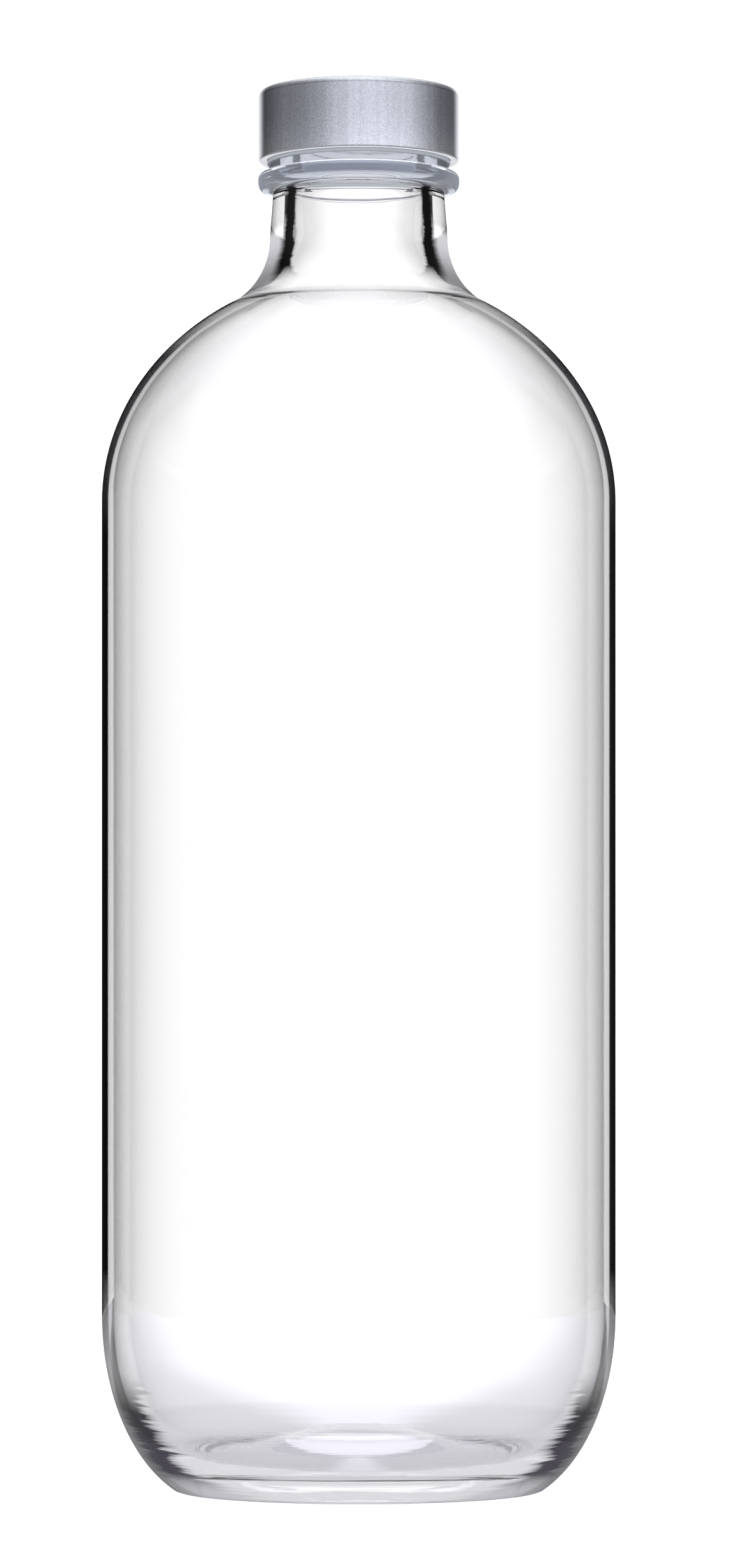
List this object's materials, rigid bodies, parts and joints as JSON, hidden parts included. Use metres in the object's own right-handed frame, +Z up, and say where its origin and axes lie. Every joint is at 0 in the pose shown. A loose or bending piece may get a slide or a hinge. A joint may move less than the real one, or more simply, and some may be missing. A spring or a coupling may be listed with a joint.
{
  "type": "glass soda bottle",
  "caption": "Clear cylindrical glass bottle with round shoulders, short flared neck and a satin silver screw cap; holds drinks, and the cap turns and lifts off on its thread.",
  "frame": {"origin": "middle of the bearing ring that the bottle stands on", "axes": "+Z up along the bottle's axis, from the base to the cap"},
  "size_m": [0.0926, 0.0926, 0.2526],
  "materials": {
    "clear_glass": "clear, fire-polished",
    "satin_metal": "satin, fine grain",
    "insert_plastic": "moulded, light grey",
    "liner_foam": "foam sheet with a smooth skin"
  },
  "bodies": {
    "bottle": {"bottle": "clear_glass"},
    "liner": {"cap_liner": "liner_foam"},
    "cap": {"cap_shell": "satin_metal", "cap_insert": "insert_plastic"}
  },
  "joints": [
    {"name": "cap_lift", "type": "slide", "parent": "bottle", "child": "liner", "axis": [0, 0, 1], "range_m": [0, 0.0105]},
    {"name": "cap_turn", "type": "hinge", "parent": "liner", "child": "cap", "pos_m": [0, 0, 0], "axis": [0, 0, 1], "range_deg": [0, 1080]}
  ],
  "couplings": [
    {"joint": "cap_lift", "follows": "cap_turn", "m_per_rad": 0.00055704}
  ]
}
